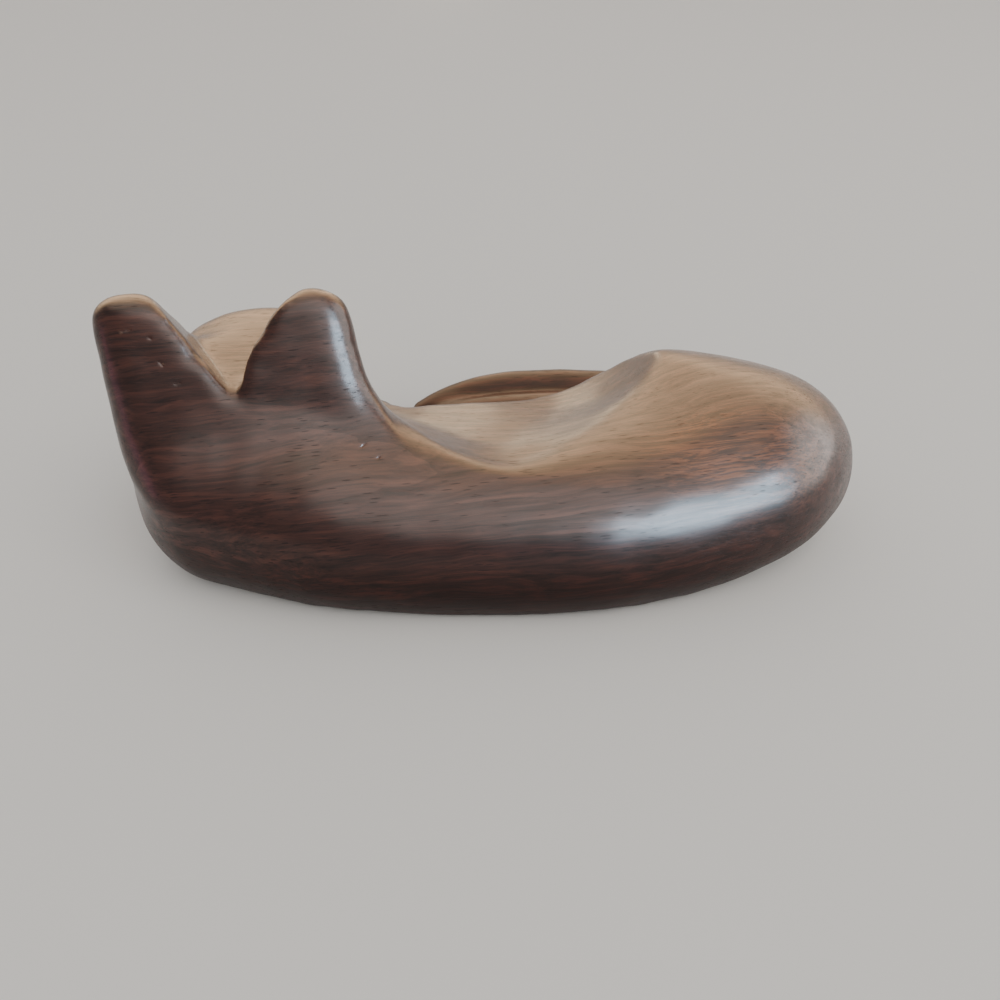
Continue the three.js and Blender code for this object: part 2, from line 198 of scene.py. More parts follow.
# %% [markdown]
# ## The smooth skin
#
# The solid is made of small flat facets, and the real surface has been sanded until no
# flat shows. The copy's loose triangles are merged and paired to quads, one round of
# subdivision rounds the facets, and a voxel remesh gives the whole skin squares of one
# size. Light smoothing then melts the steps of the voxels, and the underside is pressed
# flat again, because the carving was sawn level there.

# %% Copy the solid
MERGE_WITHIN = 0.001 * MM
QUAD_BEND = math.radians(40)
QUAD_SKEW = math.radians(60)

carving = bpy.data.objects.new("carved_cat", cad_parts["cat"].data.copy())
bpy.context.scene.collection.objects.link(carving)
carving.data.materials.clear()
select_only(carving)
bpy.ops.object.mode_set(mode="EDIT")
bpy.ops.mesh.select_all(action="SELECT")
bpy.ops.mesh.remove_doubles(threshold=MERGE_WITHIN)
bpy.ops.mesh.tris_convert_to_quads(face_threshold=QUAD_BEND, shape_threshold=QUAD_SKEW)
bpy.ops.object.mode_set(mode="OBJECT")
print("merged copy has", len(carving.data.polygons), "faces")

# %% Smooth the copy
VOXEL = 0.80 * MM
SMOOTH_SHARE = 0.5
SMOOTH_ROUNDS = 7
UNDERSIDE_PRESS = 0.35 * MM

apply_modifier(carving, "SUBSURF", levels=1, render_levels=1)
apply_modifier(carving, "REMESH", mode="VOXEL", voxel_size=VOXEL)
apply_modifier(carving, "SMOOTH", factor=SMOOTH_SHARE, iterations=SMOOTH_ROUNDS)
select_where(carving, lambda place: place.z < UNDERSIDE_PRESS)
bpy.ops.transform.resize(value=(1, 1, 0), center_override=(0, 0, 0))
bpy.ops.object.mode_set(mode="OBJECT")
print("smooth skin has", triangles_of(carving), "triangles")

# %% [markdown]
# ## The hand of the carver
#
# Sanding by hand never leaves a perfect curve. Highlights on the real back wander a
# little, because the surface rises and falls by about a tenth of a millimetre over a
# fingertip's width. A displacement with a soft cloud texture gives that. A cloud seldom
# strays far from its middle value, so the height set here is three times the rise that
# shows. It is masked to nothing at the underside, which is flat.

# %% Add the slight unevenness of hand sanding
WAVE_LENGTH = 13 * MM
WAVE_HEIGHT = 0.32 * MM
WAVE_MIDDLE = 0.5
LEVEL_BELOW = 2.5 * MM

cloud = bpy.data.textures.new("hand_sanding", type="CLOUDS")
cloud.noise_scale = WAVE_LENGTH
cloud.noise_depth = 1
uneven = carving.vertex_groups.new(name="uneven")
for vertex in carving.data.vertices:
    share = min(1.0, vertex.co.z / LEVEL_BELOW)
    uneven.add([vertex.index], share, "REPLACE")
apply_modifier(
    carving,
    "DISPLACE",
    texture=cloud,
    texture_coords="LOCAL",
    strength=WAVE_HEIGHT,
    mid_level=WAVE_MIDDLE,
    vertex_group="uneven",
)
print("box after sanding", [round(side / MM, 1) for side in carving.dimensions])

# %% [markdown]
# ## The knife cuts
#
# The far side of the cat is out of the photograph's sight. Carvings of this kind have a
# few plain cuts there: closed eyes, a nose and mouth, and the gaps between toes. Each cut
# is drawn on the surface by rays that leave a point inside the head or paw, as on a
# globe, so its place is a pair of angles in degrees: sideways from where the face looks,
# and up from level. A stroke is the angles where it starts, the angles where it ends, and
# how far it is bowed between them.

# %% Draw a line on the surface
HEAD_CENTRE = Vector((-60.5, 6, 27)) * MM
FACE_TURN_DEG = 5.5
CUT_STEPS = 12


def surface_tree(thing):
    """A tree for finding where a ray meets the object's skin."""
    corners = [vertex.co.copy() for vertex in thing.data.vertices]
    faces = [list(face.vertices) for face in thing.data.polygons]
    return BVHTree.FromPolygons(corners, faces)


def globe_direction(sideways_deg, upward_deg):
    """The direction of a pair of angles, turned with the face."""
    around = math.radians(sideways_deg - FACE_TURN_DEG)
    upward = math.radians(upward_deg)
    level = math.cos(upward)
    return Vector((math.sin(around) * level, math.cos(around) * level, math.sin(upward)))


def drawn_line(tree, centre, angles):
    """The points where rays from the centre leave the skin, for pairs of angles."""
    places = []
    for sideways, upward in angles:
        place = tree.ray_cast(centre, globe_direction(sideways, upward))[0]
        if place is not None:
            places.append(place)
    return places


def bowed(start, end, bow):
    """Pairs of angles from start to end, bowed upward in the middle by so many degrees."""
    pairs = []
    for step in range(CUT_STEPS + 1):
        share = step / CUT_STEPS
        lift = bow * 4 * share * (1 - share)
        pairs.append((
            start[0] + (end[0] - start[0]) * share,
            start[1] + (end[1] - start[1]) * share + lift,
        ))
    return pairs


skin = surface_tree(carving)
face_middle = drawn_line(skin, HEAD_CENTRE, [(0, 0)])[0]
print("the middle of the face is at", [round(part / MM, 1) for part in face_middle], "mm")

# %% [markdown]
# ## A cutting tube
#
# A knife goes in lightly, bites and comes out again. A tube with a thin start, a full
# middle and a thin end, laid along the drawn points, takes away what such a stroke does.

# %% Make a cutting tube
CUT_TIP = 0.12
CUT_FULLNESS = 0.6


def cutting_tube(name, places, width):
    """A closed tube through the points, full in the middle and thin at both tips."""
    curve = bpy.data.curves.new(name, "CURVE")
    curve.dimensions = "3D"
    curve.bevel_depth = width / 2
    curve.bevel_resolution = 2
    curve.use_fill_caps = True
    spline = curve.splines.new("POLY")
    spline.points.add(len(places) - 1)
    for number, place in enumerate(places):
        share = number / (len(places) - 1)
        spline.points[number].co = (*place, 1)
        spline.points[number].radius = max(CUT_TIP, math.sin(math.pi * share) ** CUT_FULLNESS)
    tube = bpy.data.objects.new(name, curve)
    bpy.context.scene.collection.objects.link(tube)
    select_only(tube)
    bpy.ops.object.convert(target="MESH")
    return bpy.context.active_object


# %% [markdown]
# ## The face and the toes
#
# Every stroke of the face is a value of its own, so that one can be moved without the
# others. The mouth's stroke still lies too low: its rays leave the muzzle at its lower edge
# and draw on over the tops of the paws. A stroke a few degrees higher, with less bow,
# should stay on the muzzle.

# %% Cut the face
EYE_WIDTH = 1.5 * MM
NOSE_WIDTH = 1.4 * MM
EYE = ((14, 17), (46, 21), -7)
NOSE_WING = ((0, -8), (13, 0), 1.5)
SMILE = ((0, -20), (24, -20), -5)
NOSE_BRIDGE = ((-13, 0), (13, 0), 1)
LIP = ((0, -7), (0, -21), 0)


def face_cut(name, stroke, width, side=1):
    """One cut of the face, mirrored for a side of -1."""
    start, end, bow = stroke
    angles = bowed((side * start[0], start[1]), (side * end[0], end[1]), bow)
    return cutting_tube(name, drawn_line(skin, HEAD_CENTRE, angles), width)


cuts = []
for side in (-1, 1):
    cuts.append(face_cut("eye_cut", EYE, EYE_WIDTH, side))
    cuts.append(face_cut("nose_cut", NOSE_WING, NOSE_WIDTH, side))
    cuts.append(face_cut("mouth_cut", SMILE, NOSE_WIDTH, side))
cuts.append(face_cut("nose_cut", NOSE_BRIDGE, NOSE_WIDTH))
cuts.append(face_cut("lip_cut", LIP, NOSE_WIDTH))
print("the face has", len(cuts), "cuts")

# %% Cut the toes
TOE_WIDTH = 1.2 * MM
TOE_SPREADS_DEG = (-20, 20)
TOE_FAN = 1.25
TOE_TOP_DEG = 44
TOE_FOOT_DEG = -14
PAWS_LEFT_OF_HEAD = 3 * MM
PAW_REACH = Vector((0, 35, 4.5)) * MM
PAW_SPREAD = 9.5 * MM

for side in (-1, 1):
    paw_x = HEAD_CENTRE.x - PAWS_LEFT_OF_HEAD + side * PAW_SPREAD
    paw = Vector((paw_x, PAW_REACH.y, PAW_REACH.z))
    for spread in TOE_SPREADS_DEG:
        toe = bowed((spread, TOE_TOP_DEG), (spread * TOE_FAN, TOE_FOOT_DEG), 0)
        cuts.append(cutting_tube("toe_cut", drawn_line(skin, paw, toe), TOE_WIDTH))
print("with the toes there are", len(cuts), "cuts")

# %% [markdown]
# ## The nicks
#
# The photograph shows a few small old nicks, most of them down the back of the left ear
# and one group beside the lap. Each is drawn by rays that come straight at the back. Its
# four numbers are the place across, the place up and the length, all in millimetres, and
# the slope in degrees.

# %% Draw the nicks
NICK_WIDTH = 0.8 * MM
NICK_LIFT = 0.2 * MM
NICK_STEPS = 4
BEHIND = -80 * MM
NICKS = (
    (-77.5, 61.6, 3.4, 8),
    (-73.0, 60.0, 1.8, -35),
    (-71.4, 55.2, 2.6, -50),
    (-68.6, 51.4, 2.4, 12),
    (-30.5, 38.6, 2.4, 28),
    (-27.0, 37.0, 1.8, 14),
)

for across, up, length, slope in NICKS:
    places = []
    for step in range(NICK_STEPS + 1):
        off = length * (step / NICK_STEPS - 0.5)
        x = across + off * math.cos(math.radians(slope))
        z = up + off * math.sin(math.radians(slope))
        start = Vector((x * MM, BEHIND, z * MM))
        place = skin.ray_cast(start, Vector((0, 1, 0)))[0]
        if place is not None:
            places.append(place - Vector((0, NICK_LIFT, 0)))
    cuts.append(cutting_tube("nick", places, NICK_WIDTH))
print("with the nicks there are", len(cuts), "cuts")

# %% [markdown]
# ## Cutting
#
# The tubes are joined, and where they cross, a fine remesh makes one closed tool of them.
# An exact boolean takes it out of the skin. It leaves slivers and folded flaps along the
# cuts, so vertices that all but touch are merged, and faces that lie on each other or hang
# by one edge are deleted. The fresh edges would be too crisp for a waxed carving, so the
# vertices near them are smoothed twice.

# %% Clean up after a boolean
SLIVER = 0.02 * MM


def merge_slivers(thing):
    """Merges what all but touches, and leaves triangles only."""
    select_where(thing, lambda place: True)
    bpy.ops.mesh.remove_doubles(threshold=SLIVER)
    bpy.ops.mesh.dissolve_degenerate(threshold=SLIVER)
    bpy.ops.mesh.select_all(action="SELECT")
    bpy.ops.mesh.quads_convert_to_tris()
    bpy.ops.object.mode_set(mode="OBJECT")


def delete_flaps(thing):
    """Deletes faces that share all corners with another, and faces with an edge of their own."""
    select_where(thing, lambda place: False)
    bpy.ops.mesh.select_mode(type="FACE")
    bpy.ops.object.mode_set(mode="OBJECT")
    faces = thing.data.polygons
    corner_uses = Counter(tuple(sorted(face.vertices)) for face in faces)
    edge_uses = Counter(edge for face in faces for edge in face.edge_keys)
    for face in faces:
        doubled = corner_uses[tuple(sorted(face.vertices))] > 1
        face.select = doubled or any(edge_uses[edge] == 1 for edge in face.edge_keys)
    bpy.ops.object.mode_set(mode="EDIT")
    bpy.ops.mesh.delete(type="FACE")
    bpy.ops.mesh.select_all(action="SELECT")
    bpy.ops.mesh.delete_loose()
    bpy.ops.object.mode_set(mode="OBJECT")


# %% Cut and soften
KNIFE_VOXEL = 0.25 * MM
SOFTEN_NEAR = 1.6 * MM
SOFTEN_ROUNDS = 2

select_only(cuts[0])
for tube in cuts[1:]:
    tube.select_set(True)
bpy.ops.object.join()
knife = bpy.context.active_object
apply_modifier(knife, "REMESH", mode="VOXEL", voxel_size=KNIFE_VOXEL)
knife_tree = surface_tree(knife)
apply_modifier(carving, "BOOLEAN", operation="DIFFERENCE", object=knife, solver="EXACT")
bpy.data.objects.remove(knife)
merge_slivers(carving)
delete_flaps(carving)
select_where(carving, lambda place: knife_tree.find_nearest(place, SOFTEN_NEAR)[0] is not None)
bpy.ops.mesh.vertices_smooth(factor=SMOOTH_SHARE, repeat=SOFTEN_ROUNDS)
bpy.ops.object.mode_set(mode="OBJECT")
select_only(carving)
bpy.ops.object.shade_smooth()
print("carving has", triangles_of(carving), "triangles")

# %% [markdown]
# ## Node helpers
#
# A procedural timber is a long chain of nodes, and small helpers keep its recipe short.
# The first ones feed a socket and add a node with its settings.

# %% Feed a socket and add a node
def feed(tree, socket, value):
    """Links a socket to another one, or sets its plain value."""
    if isinstance(value, bpy.types.NodeSocket):
        tree.links.new(value, socket)
    else:
        socket.default_value = value


def node(tree, kind, inputs=None, **settings):
    """Adds a node, sets its properties, and feeds its inputs by name or number."""
    made = tree.nodes.new(kind)
    for name, value in settings.items():
        setattr(made, name, value)
    for name, value in (inputs or {}).items():
        feed(tree, made.inputs[name], value)
    return made


# %% [markdown]
# The next ones do sums on masks, turn a value into a mask, stretch a position, blend two
# colours and start a node group.

# %% Helpers for masks, positions and colours
def math_node(tree, operation, first, second, clamp=False):
    """The result of one sum on two numbers."""
    made = node(tree, "ShaderNodeMath", {0: first, 1: second}, operation=operation)
    made.use_clamp = clamp
    return made.outputs[0]


def times(tree, first, second, clamp=False):
    """The product of two numbers or masks."""
    return math_node(tree, "MULTIPLY", first, second, clamp)


def plus(tree, first, second, clamp=False):
    """The sum of two numbers or masks."""
    return math_node(tree, "ADD", first, second, clamp)


def minus(tree, first, second, clamp=False):
    """The first number or mask less the second."""
    return math_node(tree, "SUBTRACT", first, second, clamp)


def window(tree, value, low, high):
    """Turns a value into a mask: 0 below low, 1 above high, and smooth between."""
    made = node(
        tree,
        "ShaderNodeMapRange",
        {"Value": value, "From Min": low, "From Max": high},
        interpolation_type="SMOOTHSTEP",
    )
    return made.outputs["Result"]


def fading(tree, value, gone, depth):
    """Turns a value into a mask: 0 from gone upward, and 1 once it lies a depth below gone."""
    return window(tree, minus(tree, gone, value), 0.0, depth)


def stretched(tree, position, stretch):
    """The position scaled along each axis, so that a pattern is drawn out."""
    made = node(tree, "ShaderNodeVectorMath", {0: position, 1: stretch}, operation="MULTIPLY")
    return made.outputs["Vector"]


def colour_mix(tree, share, first, second):
    """A blend of two colours by a share."""
    made = node(tree, "ShaderNodeMix", data_type="RGBA", blend_type="MIX")
    feed(tree, made.inputs[0], share)
    feed(tree, made.inputs[6], first)
    feed(tree, made.inputs[7], second)
    return made.outputs[2]


def new_group(name, inputs, outputs):
    """An empty node group with its named sockets, and its input and output nodes."""
    tree = bpy.data.node_groups.new(name, "ShaderNodeTree")
    for label, kind in inputs:
        tree.interface.new_socket(name=label, in_out="INPUT", socket_type=kind)
    for label, kind in outputs:
        tree.interface.new_socket(name=label, in_out="OUTPUT", socket_type=kind)
    return tree, tree.nodes.new("NodeGroupInput"), tree.nodes.new("NodeGroupOutput")


# %% [markdown]
# ## The room
#
# Matt surfaces are lit by an even pale sky. The polish sees a softly graded room instead:
# a warm wall behind the cat, dimmer at its foot, a ceiling, a lighter part in front and a
# lighter side to the right. All edges are soft, so that no reflection ends in a line.
# Each pair of numbers says where such a part begins to show and where it shows in full.

# %% Paint the room
EVEN_SKY = (0.60, 0.61, 0.63, 1)
ROOM_GREY = (0.36, 0.34, 0.33, 1)
CEILING = (3.4, 2.8, 2.2, 1)
CEILING_RISE = (0.66, 0.95)
WARM_WALL = (5.2, 3.6, 2.2, 1)
WALL_DEPTH = (0.05, 0.60)
WALL_RISE = (-0.05, 0.40)
WALL_FOOT = 0.12
ROOM_FRONT = (3.7, 3.35, 3.05, 1)
FRONT_DIRECTION = (0.18, -0.67, 0.72)
FRONT_EDGE = (0.82, 0.96)
ROOM_SIDE = (6.0, 5.7, 5.4, 1)
SIDE_DIRECTION = (0.96, -0.05, 0.27)
SIDE_EDGE = (0.76, 0.97)

room = bpy.data.worlds.new("soft_room")
room.use_nodes = True
sky_tree = room.node_tree
look = node(sky_tree, "ShaderNodeTexCoord").outputs["Generated"]
look_axes = node(sky_tree, "ShaderNodeSeparateXYZ", {0: look})


def towards(direction, edge):
    """A soft round patch of the room around one direction."""
    both = {0: look, 1: direction}
    made = node(sky_tree, "ShaderNodeVectorMath", both, operation="DOT_PRODUCT")
    return window(sky_tree, made.outputs["Value"], *edge)


wall_rise = window(sky_tree, look_axes.outputs["Z"], *WALL_RISE)
wall_rise = plus(sky_tree, times(sky_tree, wall_rise, 1.0 - WALL_FOOT), WALL_FOOT)
wall_depth = window(sky_tree, look_axes.outputs["Y"], *WALL_DEPTH)
wall_share = times(sky_tree, wall_depth, wall_rise)
ceiling_share = window(sky_tree, look_axes.outputs["Z"], *CEILING_RISE)
seen = colour_mix(sky_tree, ceiling_share, ROOM_GREY, CEILING)
seen = colour_mix(sky_tree, wall_share, seen, WARM_WALL)
seen = colour_mix(sky_tree, towards(FRONT_DIRECTION, FRONT_EDGE), seen, ROOM_FRONT)
seen = colour_mix(sky_tree, towards(SIDE_DIRECTION, SIDE_EDGE), seen, ROOM_SIDE)
polish_ray = node(sky_tree, "ShaderNodeLightPath").outputs["Is Glossy Ray"]
seen = colour_mix(sky_tree, polish_ray, EVEN_SKY, seen)
feed(sky_tree, sky_tree.nodes["Background"].inputs["Color"], seen)
bpy.context.scene.world = room
print("room has", len(sky_tree.nodes), "nodes")

# %% [markdown]
# ## Grain
#
# The log lay along the cat. Growth rings show as long bands, broken by darker and lighter
# fibres. A ring wave around a tilted axis gives the bands, and noise drawn out along the
# length gives the streaks and the fine fibres. Positions come in millimetres. A stretch
# says how many times a pattern changes in a millimetre along each axis, so a small first
# number draws it out along the log.

# %% Start the grain group and bend the position
VECTOR = "NodeSocketVector"
NUMBER = "NodeSocketFloat"
WANDER_STRETCH = (0.02, 0.07, 0.07)

grain, grain_in, grain_out = new_group(
    "hardwood_grain",
    [("Position", VECTOR), ("Ring Scale", NUMBER), ("Waviness", NUMBER)],
    [("Rings", NUMBER), ("Streaks", NUMBER), ("Fibres", NUMBER)],
)


def noise(tree, position, stretch, detail, roughness=0.5):
    """A noise texture on a stretched position."""
    return node(
        tree,
        "ShaderNodeTexNoise",
        {
            "Vector": stretched(tree, position, stretch),
            "Scale": 1.0,
            "Detail": detail,
            "Roughness": roughness,
        },
    )


wander = noise(grain, grain_in.outputs["Position"], WANDER_STRETCH, detail=3.0)
shifted = node(
    grain,
    "ShaderNodeVectorMath",
    {0: wander.outputs["Color"], 1: (0.5, 0.5, 0.5)},
    operation="SUBTRACT",
)
pushed = node(
    grain,
    "ShaderNodeVectorMath",
    {0: shifted.outputs["Vector"], "Scale": grain_in.outputs["Waviness"]},
    operation="SCALE",
)
bent = node(
    grain,
    "ShaderNodeVectorMath",
    {0: grain_in.outputs["Position"], 1: pushed.outputs["Vector"]},
    operation="ADD",
).outputs["Vector"]
print("position is bent by", len(grain.nodes), "nodes")

# %% Draw rings, streaks and fibres
RING_BREAKS = 1.5
RING_BREAK_SCALE = 0.6
STREAK_STRETCH = (0.035, 0.75, 0.75)
FIBRE_STRETCH = (0.11, 2.4, 2.4)

rings = node(
    grain,
    "ShaderNodeTexWave",
    {
        "Vector": bent,
        "Scale": grain_in.outputs["Ring Scale"],
        "Distortion": RING_BREAKS,
        "Detail": 2.0,
        "Detail Scale": RING_BREAK_SCALE,
    },
    wave_type="RINGS",
    rings_direction="X",
    wave_profile="SAW",
)
streaks = noise(grain, bent, STREAK_STRETCH, detail=5.0, roughness=0.62)
fibres = noise(grain, bent, FIBRE_STRETCH, detail=3.0, roughness=0.6)
feed(grain, grain_out.inputs["Rings"], rings.outputs["Fac"])
feed(grain, grain_out.inputs["Streaks"], streaks.outputs["Fac"])
feed(grain, grain_out.inputs["Fibres"], fibres.outputs["Fac"])
print("grain group has", len(grain.nodes), "nodes")

# %% [markdown]
# ## Pores
#
# Open-grained hardwood has short dark vessels that run with the grain. Voronoi cells drawn
# out along the length are two thirds of a millimetre wide and six long, and the dash in
# the middle of each is less than half as large. A slow noise leaves some places closer
# grained than others.

# %% The pore group
PORE_STRETCH = (0.16, 1.5, 1.5)
CROWD_STRETCH = (0.03, 0.16, 0.16)
PORE_EDGE = 0.10

pores, pores_in, pores_out = new_group(
    "open_pores",
    [("Position", VECTOR), ("Size", NUMBER)],
    [("Pores", NUMBER)],
)
cells = node(
    pores,
    "ShaderNodeTexVoronoi",
    {
        "Vector": stretched(pores, pores_in.outputs["Position"], PORE_STRETCH),
        "Scale": 1.0,
        "Randomness": 1.0,
    },
)
crowd = noise(pores, pores_in.outputs["Position"], CROWD_STRETCH, detail=2.0)
pore_reach = times(pores, pores_in.outputs["Size"], crowd.outputs["Fac"])
inside = minus(pores, pore_reach, cells.outputs["Distance"])
feed(pores, pores_out.inputs["Pores"], window(pores, inside, 0.0, PORE_EDGE))
print("pore group has", len(pores.nodes), "nodes")

# %% [markdown]
# ## Scratches
#
# The rump and the ears carry fine hairlines that cross the grain, left by coarse paper and
# by years of handling. Two thin noises, drawn out in directions that cross each other,
# give them.

# %% The scratch group
HAIR_TURNS_DEG = (62, 108)
HAIR_TILT = math.radians(20)
HAIR_STRETCH = (0.09, 2.3, 2.3)
HAIR_EDGE = (0.60, 0.74)

scratches, scratches_in, scratches_out = new_group(
    "hairline_scratches",
    [("Position", VECTOR), ("Amount", NUMBER)],
    [("Scratches", NUMBER)],
)
hairs = []
for turn in HAIR_TURNS_DEG:
    turned = node(
        scratches,
        "ShaderNodeMapping",
        {
            "Vector": scratches_in.outputs["Position"],
            "Rotation": (HAIR_TILT, math.radians(turn / 3), math.radians(turn)),
            "Scale": HAIR_STRETCH,
        },
    )
    hair = node(
        scratches,
        "ShaderNodeTexNoise",
        {"Vector": turned.outputs["Vector"], "Scale": 1.0, "Detail": 1.5},
    )
    hairs.append(window(scratches, hair.outputs["Fac"], *HAIR_EDGE))
crossed = math_node(scratches, "MAXIMUM", hairs[0], hairs[1])
crossed = times(scratches, crossed, scratches_in.outputs["Amount"])
feed(scratches, scratches_out.inputs["Scratches"], crossed)
print("scratch group has", len(scratches.nodes), "nodes")

# %% [markdown]
# ## The polished timber
#
# The wood is a very dark reddish brown, and its recipe has six parts: where the patterns
# lie, the colour of the wood, the painted shade and highlight, darker hollows and dirt laid
# on that colour, the scratches, how rough and uneven the surface is, and the coat of wax.
# Each part is a function that adds its nodes to a material. The first one places the
# groups, with the log tilted a little against the cat, and hands on every mask and place
# that the other parts read.

# %% Lay the log through the cat
LOG_TILT = (math.radians(3), math.radians(5), math.radians(-4))
LOG_AXIS = (0, 38, -46)
RING_SCALE = 0.075
WAVINESS = 9.0
PORE_SIZE = 0.42


def use_group(tree, group, inputs):
    """Places a node group in a material and feeds its inputs."""
    made = tree.nodes.new("ShaderNodeGroup")
    made.node_tree = group
    for name, value in inputs.items():
        feed(tree, made.inputs[name], value)
    return made.outputs


def wood_patterns(tree):
    """The masks of the wood, and the place on the cat in millimetres, by plain names."""
    place = node(tree, "ShaderNodeTexCoord").outputs["Object"]
    in_mm = stretched(tree, place, (1 / MM, 1 / MM, 1 / MM))
    tilted = {"Vector": in_mm, "Rotation": LOG_TILT, "Location": LOG_AXIS}
    log = node(tree, "ShaderNodeMapping", tilted).outputs["Vector"]
    grain_inputs = {"Position": log, "Ring Scale": RING_SCALE, "Waviness": WAVINESS}
    wood = use_group(tree, grain, grain_inputs)
    dashes = use_group(tree, pores, {"Position": log, "Size": PORE_SIZE})
    hairlines = use_group(tree, scratches, {"Position": in_mm, "Amount": 1.0})
    axes = node(tree, "ShaderNodeSeparateXYZ", {0: in_mm})
    return {
        "rings": wood["Rings"],
        "streaks": wood["Streaks"],
        "fibres": wood["Fibres"],
        "pores": dashes["Pores"],
        "hairlines": hairlines["Scratches"],
        "place": in_mm,
        "along": axes.outputs["X"],
        "up": axes.outputs["Z"],
    }


# %% [markdown]
# Streaks swing the wood between near black and rust. An orange flare sits at the haunch,
# and red fibres show low on the flanks. Pairs of numbers say where a mask begins and
# where it is full, and shares say how far a colour is taken.

# %% Colour the wood
NEAR_BLACK = (0.012, 0.0056, 0.0050, 1)
DARK_BROWN = (0.036, 0.0112, 0.0085, 1)
RUST_BROWN = (0.088, 0.0250, 0.0140, 1)
FLARE_ORANGE = (0.235, 0.082, 0.032, 1)
LOW_RED = (0.105, 0.020, 0.014, 1)

STREAKS_FOR_TONE = (0.26, 0.78)
RINGS_IN_TONE = 0.30
STREAKS_IN_TONE = 0.75
BROWN_TONES = (0.05, 0.80)
RUST_TONES = (0.50, 1.15)
RED_GONE_UP = 26.0
RED_DEPTH = 14.0
RED_STREAKS = (0.46, 0.70)
RED_SHARE = 0.55
FLARE_PLACE = (52, -26, 33)
FLARE_REACH = (0.036, 0.062, 0.062)
FLARE_DEPTH = 0.75
FLARE_FIBRES = (0.40, 0.60)
FLARE_STREAKS = (0.34, 0.60)
LIGHT_FIBRES = (0.30, 0.72)
LIGHT_FIBRE_SHARE = 0.30


def wood_tone(tree, wood):
    """How light the wood is at a place, from its rings and streaks."""
    band = times(tree, wood["rings"], RINGS_IN_TONE)
    streak = window(tree, wood["streaks"], *STREAKS_FOR_TONE)
    return plus(tree, band, times(tree, streak, STREAKS_IN_TONE), clamp=True)


def flare_mask(tree, wood):
    """Where the orange flare shows: near one place, and on the lighter fibres there."""
    both = {0: wood["place"], 1: FLARE_PLACE}
    away = node(tree, "ShaderNodeVectorMath", both, operation="SUBTRACT").outputs["Vector"]
    away = stretched(tree, away, FLARE_REACH)
    far = node(tree, "ShaderNodeVectorMath", {0: away}, operation="LENGTH").outputs["Value"]
    near = fading(tree, far, 1.0, FLARE_DEPTH)
    on_fibres = times(tree, near, window(tree, wood["fibres"], *FLARE_FIBRES))
    return times(tree, on_fibres, window(tree, wood["streaks"], *FLARE_STREAKS))


def wood_colour(tree, wood, tone):
    """The colour of the sound wood."""
    colour = colour_mix(tree, window(tree, tone, *BROWN_TONES), NEAR_BLACK, DARK_BROWN)
    colour = colour_mix(tree, window(tree, tone, *RUST_TONES), colour, RUST_BROWN)
    red = fading(tree, wood["up"], RED_GONE_UP, RED_DEPTH)
    red = times(tree, red, window(tree, wood["streaks"], *RED_STREAKS))
    colour = colour_mix(tree, times(tree, red, RED_SHARE), colour, LOW_RED)
    colour = colour_mix(tree, flare_mask(tree, wood), colour, FLARE_ORANGE)
    light = times(tree, window(tree, wood["fibres"], *LIGHT_FIBRES), LIGHT_FIBRE_SHARE)
    return colour_mix(tree, light, colour, RUST_BROWN)


# %% [markdown]
# Sharp edges get a lighter tint, a painted highlight, and hollows are made darker. The
# geometry's pointiness tells one from the other. Low on the flanks the colour is darkened
# as painted shade, and the pores are darkened by dirt.

# %% Paint shade and highlights, and dirty the pores
# The edge tint is a painted highlight on sharp edges.
EDGE_HIGHLIGHT_TINT = (0.16, 0.085, 0.055, 1)
SHARP_EDGE = (0.515, 0.60)
# Painted shade: how high the darkening of the low flanks reaches, and how strong it is.
SHADE_GONE_UP = 24.0
SHADE_DEPTH = 18.0
LOW_SHADE_SHARE = 0.7
HOLLOW_DARK_SHARE = 0.75
PORE_DIRT_SHARE = 0.7


def edges_and_hollows(tree, edge_light_and_wear_share):
    """Two masks: edges that stand out, by a share, and hollows."""
    edge = node(tree, "ShaderNodeNewGeometry").outputs["Pointiness"]
    edge_light_and_wear = times(tree, window(tree, edge, *SHARP_EDGE), edge_light_and_wear_share)
    hollow_mask = window(tree, minus(tree, 1.0, edge), *SHARP_EDGE)
    return edge_light_and_wear, hollow_mask


def colour_with_painted_light_and_dirt(tree, wood, colour, edge_light_and_wear, hollow_mask):
    """The colour with painted shade low down, painted edge highlights, darker hollows and pore
    dirt.
    """
    # Painted shade: the colour is darker low on the flanks.
    low_painted_shade = fading(tree, wood["up"], SHADE_GONE_UP, SHADE_DEPTH)
    colour = colour_mix(tree, times(tree, low_painted_shade, LOW_SHADE_SHARE), colour, NEAR_BLACK)
    # Painted highlight: sharp edges are lightened by the edge tint.
    colour = colour_mix(tree, edge_light_and_wear, colour, EDGE_HIGHLIGHT_TINT)
    # The hollows are made darker.
    colour = colour_mix(tree, times(tree, hollow_mask, HOLLOW_DARK_SHARE), colour, NEAR_BLACK)
    dirt = times(tree, wood["pores"], PORE_DIRT_SHARE)
    return colour_mix(tree, dirt, colour, NEAR_BLACK)


# %% [markdown]
# Scratches show most on the rump and the ears. They and the pores are rougher than the
# rubbed wood around them, worn edges are smoother, and a bump lets the fibres stand up by
# a hundredth of a millimetre or two and sinks the pores and scratches.

# %% Scratch and roughen
RUMP_ALONG = (30.0, 66.0)
EARS_UP = (40.0, 58.0)
MARKS_HANDLED = 0.8
MARKS_ELSEWHERE = 0.2
FIBRE_ROUGHNESS = 0.16
MARK_ROUGHNESS = 0.30
PORE_ROUGHNESS = 0.25
WORN_SMOOTHNESS = 0.10
FIBRE_RELIEF = 0.65
PORE_RELIEF = 0.75
MARK_RELIEF = 2.4
RELIEF_STRENGTH = 0.32
RELIEF_HEIGHT = 0.08 * MM


